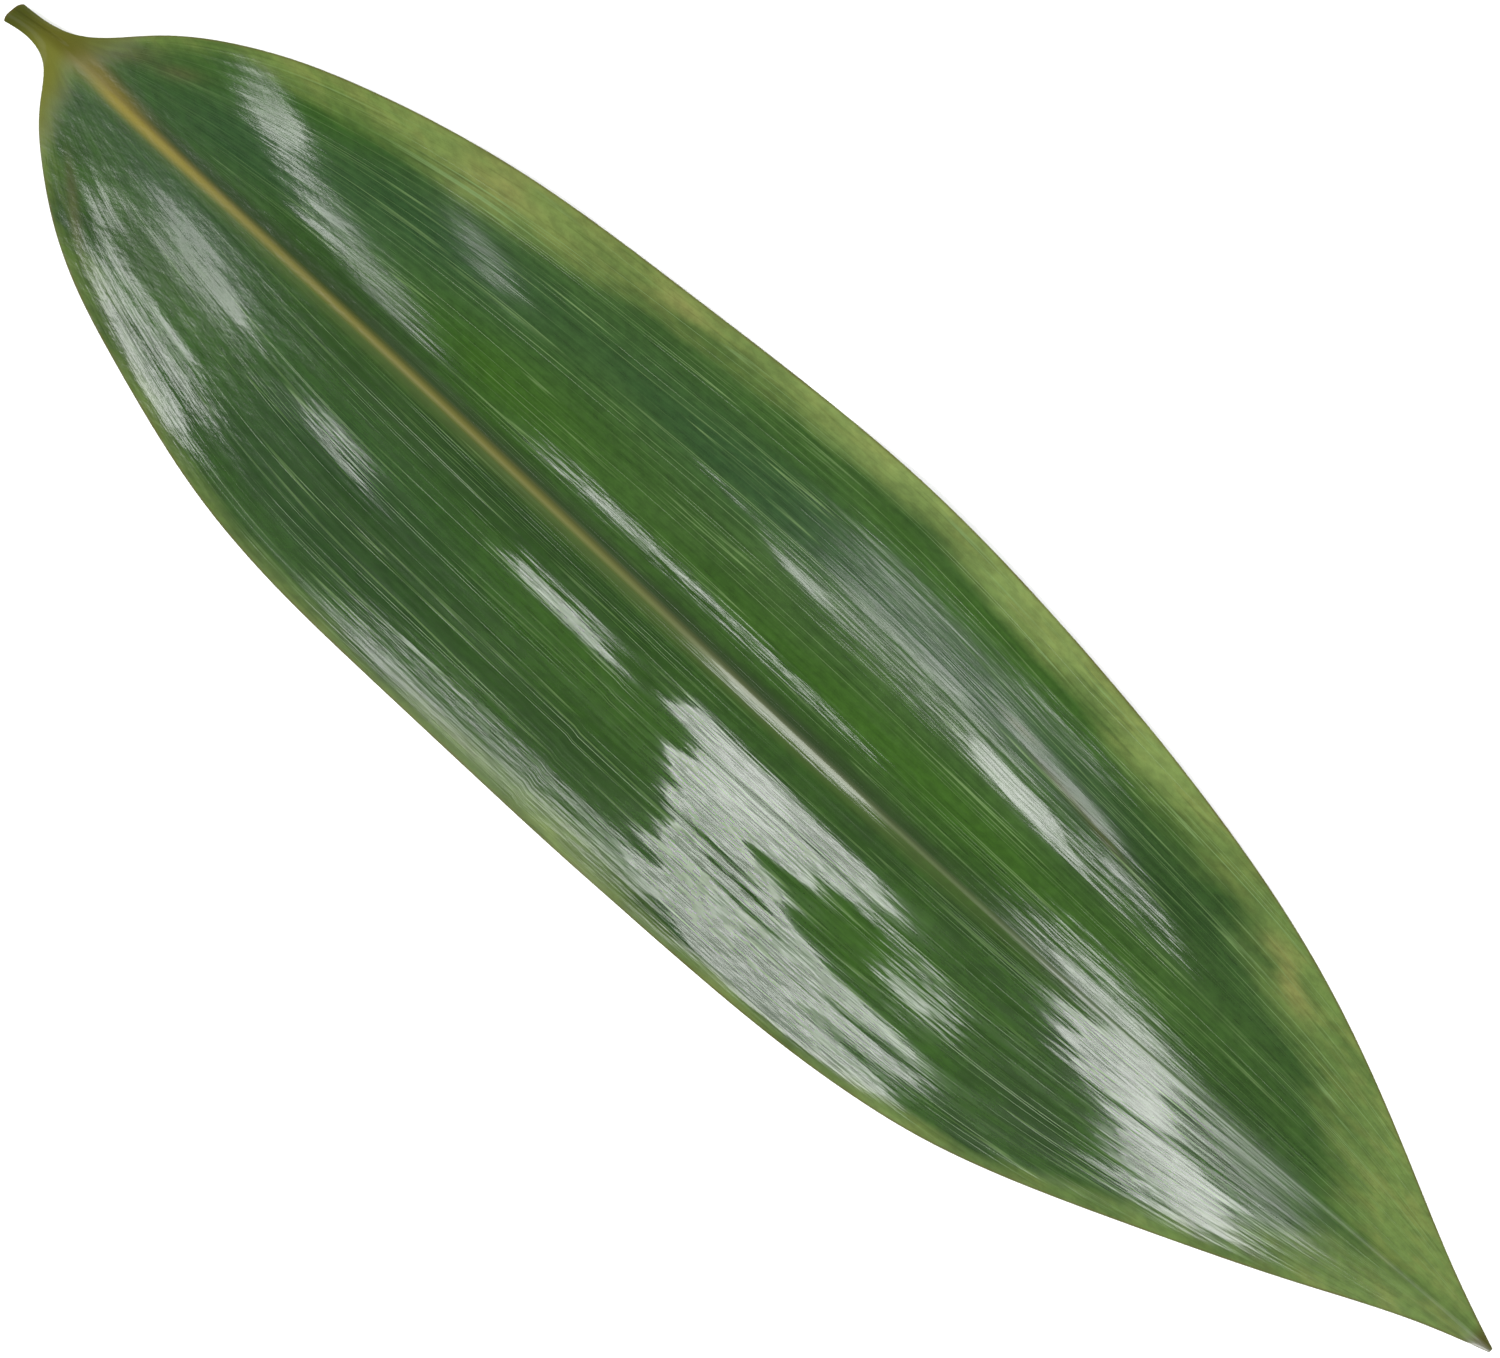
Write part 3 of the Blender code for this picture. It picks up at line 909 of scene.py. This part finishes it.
def streaked(n, green, thread):
    """Streaks, grain and pale veins over the green, stronger on the +Y side."""
    broad, fine = n.pattern("broad"), n.pattern("fine")
    upper = n.ramp(n.mark("across"), *HIGH_SIDE, 0.5, 0.75)
    green = n.tint(n.times(n.ramp(broad, 0.40, 0.75, 0.0, 0.16), upper), green, "pale_streak")
    green = n.tint(n.times(n.ramp(fine, 0.40, 0.7, 0.0, 0.12), upper), green, "pale_hair")
    green = n.tint(n.ramp(fine, 0.50, 0.25, 0.0, 0.30), green, "dark_hair")
    green = n.mix(1.0, green, n.ramp(n.pattern("grain"), 0.3, 0.7, 0.86, 1.14), "MULTIPLY")
    return n.tint(n.times(thread, upper), green, "thread")


def rib_masks(n):
    """Where the midrib lies, and how much of its colour shows along the leaf."""
    along, off = n.mark("along"), n.mark("off")
    half = n.times(n.ramp(along, 20.0, 55.0, 1.05, 0.78), n.ramp(along, 90.0, 310.0, 1.0, 0.4))
    crest = n.math("ABSOLUTE", n.math("ADD", off, n.ramp(along, 30.0, 115.0, 0.40, 0.0)))
    rib = n.ramp(crest, n.times(half, 1.8), n.times(half, 0.1))
    fading = n.times(n.ramp(along, 12.0, 24.0), n.ramp(along, 120.0, 185.0, 0.95, 0.30),
                     n.ramp(along, 200.0, 290.0, 1.0, 0.0))
    return rib, fading


def ribbed(n, green, rib, fading):
    """The golden midrib over the green, with its own brown and painted shade on its +Y flank, in a groove with
    painted shade on its +Y side and painted light on the other.
    """
    along, off = n.mark("along"), n.mark("off")
    # Painted shade on the +Y side of the groove and painted light on its -Y side.
    beside = n.times(n.ramp(n.math("ABSOLUTE", off), 3.6, 1.2), n.ramp(along, 260.0, 170.0))
    green = n.tint(n.times(beside, n.ramp(off, -0.2, 0.2, 0.0, 0.75)), green, "groove_painted_shade")
    green = n.tint(n.times(beside, n.ramp(off, -0.2, 0.2, 0.45, 0.0)), green, "groove_painted_light")
    green = n.tint_mark(green, "ochre")
    gold = n.changing("rib_foot", ("rib_near", 28.0, 60.0), ("rib_far", 90.0, 170.0))
    # The midrib's +Y flank turns browner and darker: partly its own brown, partly painted shade.
    shade = n.changing("rib_foot_brown_and_shade", ("rib_brown_and_shade", 28.0, 70.0))
    gold = n.mix(n.ramp(off, -0.6, 0.6, 0.0, 0.75), gold, shade)
    return n.mix(n.times(rib, fading), green, gold)


def stalk_mask(n):
    """Where the stalk lies, with a mottled end that reaches further along the margins."""
    place = n.math("MULTIPLY_ADD", n.math("SUBTRACT", n.pattern("blotch"), 0.5), 12.0, n.mark("along"))
    place = n.math("MULTIPLY_ADD", n.math("MINIMUM", n.mark("margin"), 9.0), 0.8, place)
    return n.ramp(place, 25.0, 11.0)


def edged(n, green, stalk):
    """Thin olive line along the margin, browner in places, the dry tip, the stalk with painted light on its -Y
    flank, and its cut end.
    """
    along, off = n.mark("along"), n.mark("off")
    line = n.times(n.ramp(n.mark("margin"), 0.55, 0.1), n.ramp(n.pattern("worn"), 0.3, 0.7, 0.45, 0.95))
    green = n.tint(line, green, "margin")
    green = n.tint(n.ramp(along, 324.5, 328.0), green, "dry_tip")
    # The stalk's -Y flank is painted lighter than its back: painted light.
    flank = n.mix(n.ramp(off, -2.2, -0.2), colour("stalk_painted_light"), colour("stalk_back"))
    flank = n.tint(n.ramp(off, 0.3, 1.6), flank, "stalk_high")
    flank = n.tint(n.ramp(along, 8.0, 1.0, 0.0, 0.8), flank, "stalk_end")
    green = n.mix(n.times(stalk, 0.95), green, flank)
    return n.tint(n.ramp(along, 0.5, 0.0, 0.0, 0.8), green, "cut_end")


def make_gloss(n, rib, fading, stalk):
    """Waxy gloss, softer in places, and dull on the stalk, the midrib and the underside."""
    under, soft = n.mark("under"), n.mark("soft")
    rough = n.math("MULTIPLY_ADD", soft, SOFT_ROUGHNESS, n.ramp(n.pattern("fine"), 0.3, 0.7, *ROUGHNESS))
    woody = n.math("MAXIMUM", n.times(rib, RIB_ROUGHENED), stalk)
    rough = n.math("MULTIPLY_ADD", woody, STALK_ROUGHNESS, rough)
    n.feed(n.shader.inputs["Roughness"], n.math("MULTIPLY_ADD", under, UNDER_ROUGHNESS, rough))
    n.shader.inputs["IOR"].default_value = 1.5
    dull = n.math("MAXIMUM", stalk, n.times(rib, fading, RIB_DULLED))
    n.feed(n.shader.inputs["Specular IOR Level"], n.math("MULTIPLY_ADD", dull, -DULLED, REFLECTION))
    bare = n.math("MAXIMUM", under, n.math("MAXIMUM", soft, stalk))
    coat = n.math("MULTIPLY_ADD", n.mark("wax"), THICK_COAT, COAT)
    n.feed(n.shader.inputs["Coat Weight"], n.math("MULTIPLY_ADD", bare, -BARE_COAT, coat))
    n.shader.inputs["Coat Roughness"].default_value = COAT_ROUGHNESS


def make_relief(n, thread):
    """Fine relief: hair-fine veins, the threads, and streaks and creases that break the gloss."""
    along, swollen = n.mark("along"), n.mark("swollen")
    turns = n.times(n.math("ABSOLUTE", n.mark("vein")), 2 * math.pi * HAIRS * VEINS)
    height = n.times(n.math("COSINE", turns), HAIR_HEIGHT)
    coarse = n.math("MULTIPLY_ADD", swollen, STREAK_SWELL, STREAK_HEIGHT)
    coarse = n.times(coarse, n.ramp(along, 45.0, 80.0, 0.6, 1.0))
    even = n.math("MAXIMUM", n.mark("soft"), n.times(n.mark("wax"), WAX_EVENED))
    coarse = n.times(coarse, n.math("MULTIPLY_ADD", even, -EVENED, 1.0))
    streak = n.math("MULTIPLY_ADD", n.pattern("crinkle"), CRINKLE_SHARE, n.pattern("streak"))
    height = n.math("MULTIPLY_ADD", n.math("SUBTRACT", streak, STREAK_MEAN), coarse, height)
    height = n.math("MULTIPLY_ADD", thread, THREAD_HEIGHT, height)
    # Creases that cross the swells along the veins.
    lines = n.math("PINGPONG", n.times(n.pattern("crease_place"), CREASE_LINES), 0.5)
    crease = n.times(n.ramp(lines, 0.12, 0.0), swollen, n.ramp(n.pattern("crease_strength"), 0.42, 0.58))
    height = n.math("MULTIPLY_ADD", crease, -CREASE_DEPTH, height)
    height = n.times(height, n.mark("space"))
    # At the foot the gloss breaks up in blotches rather than streaks.
    pucker = n.math("SUBTRACT", n.pattern("pucker"), 0.5)
    height = n.math("MULTIPLY_ADD", pucker, n.ramp(along, 95.0, 60.0, 0.0, PUCKER_HEIGHT), height)
    bump = n.tree.nodes.new("ShaderNodeBump")
    bump.inputs["Strength"].default_value = 1.0
    bump.inputs["Distance"].default_value = MM
    n.feed(bump.inputs["Height"], height)
    n.feed(n.shader.inputs["Normal"], bump.outputs["Normal"])


def leaf_tissue():
    """Waxy green leaf: streaked greens, pale veins, golden midrib, olive margin and a paler underside."""
    n = Nodes("leaf_tissue")
    thread, stalk = thread_mask(n), stalk_mask(n)
    rib, fading = rib_masks(n)
    green = streaked(n, blade_green(n), thread)
    green = edged(n, ribbed(n, green, rib, fading), stalk)
    pale = n.tint(0.55, green, "underside")
    n.feed(n.shader.inputs["Base Color"], n.mix(n.mark("under"), green, pale))
    make_gloss(n, rib, fading, stalk)
    make_relief(n, thread)
    return n.material


def floor_paper():
    """Plain matt white floor."""
    n = Nodes("floor_paper")
    n.shader.inputs["Base Color"].default_value = (0.94, 0.94, 0.94, 1)
    n.shader.inputs["Roughness"].default_value = 0.95
    n.shader.inputs["Specular IOR Level"].default_value = 0.1
    return n.material


leaf = make_leaf()
leaf.data.materials.append(leaf_tissue())
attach(leaf, "root")
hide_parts("bamboo_leaf")

# Floor.
FLOOR_SIZE = 12.0
bpy.ops.mesh.primitive_plane_add(size=FLOOR_SIZE, location=(0, 0, 0))
floor = bpy.context.object
floor.name = "floor"
floor.data.materials.append(floor_paper())

# The photograph's frame: its width in pixels, the pixels to a millimetre of leaf, the turn of the leaf in the
# picture, the lens and the film's width in millimetres, and the point in the middle of the picture.
FRAME_WIDTH = 1500
PIXELS_PER_MM = 6.064
TURN = math.radians(42.21)
LENS = 180
FILM = 36
CENTRE = (-0.4 * MM, -0.4 * MM, 4 * MM)

camera_data = bpy.data.cameras.new("camera")
camera_data.lens = LENS
camera_data.sensor_width = FILM
camera_data.dof.use_dof = False
camera = bpy.data.objects.new("camera", camera_data)
width = FRAME_WIDTH / PIXELS_PER_MM * MM
camera.location = (CENTRE[0], CENTRE[1], CENTRE[2] + width * LENS / FILM)
camera.rotation_euler = (0, 0, TURN)
bpy.context.scene.collection.objects.link(camera)
bpy.context.scene.camera = camera

# A long soft box high up on the -Y side, broad low fills on the +Y side and beyond both ends, and a dim even
# room. Each light has its distance, its angle off the vertical, the direction it stands in, counted from +X
# toward +Y, its size along that direction's right and up, and its radiance.
LIGHTS = {
    "strip": (6.0, 20.5, -90.0, (13.0, 1.5), 10.6),
    "fill_side": (6.0, 62.0, 90.0, (6.0, 4.0), 5.4),
    "fill_tip": (6.0, 62.0, 0.0, (6.0, 4.0), 4.2),
    "fill_stalk": (6.0, 62.0, 180.0, (6.0, 4.0), 4.2),
}
ROOM = 0.14
for name, (away, angle, heading, size, radiance) in LIGHTS.items():
    lamp = bpy.data.lights.new(name, "AREA")
    lamp.shape = "RECTANGLE"
    lamp.size, lamp.size_y = size
    lamp.energy = radiance * math.pi * size[0] * size[1]
    light = bpy.data.objects.new(name, lamp)
    tilt, turn = math.radians(angle), math.radians(heading)
    flat = away * math.sin(tilt)
    light.location = (flat * math.cos(turn), flat * math.sin(turn), away * math.cos(tilt))
    light.rotation_euler = (tilt, 0, turn + math.pi / 2)
    bpy.context.scene.collection.objects.link(light)

world = bpy.data.worlds.new("room")
world.use_nodes = True
world.node_tree.nodes["Background"].inputs["Color"].default_value = (1, 1, 1, 1)
world.node_tree.nodes["Background"].inputs["Strength"].default_value = ROOM
bpy.context.scene.world = world
bpy.context.scene.view_settings.view_transform = "Standard"
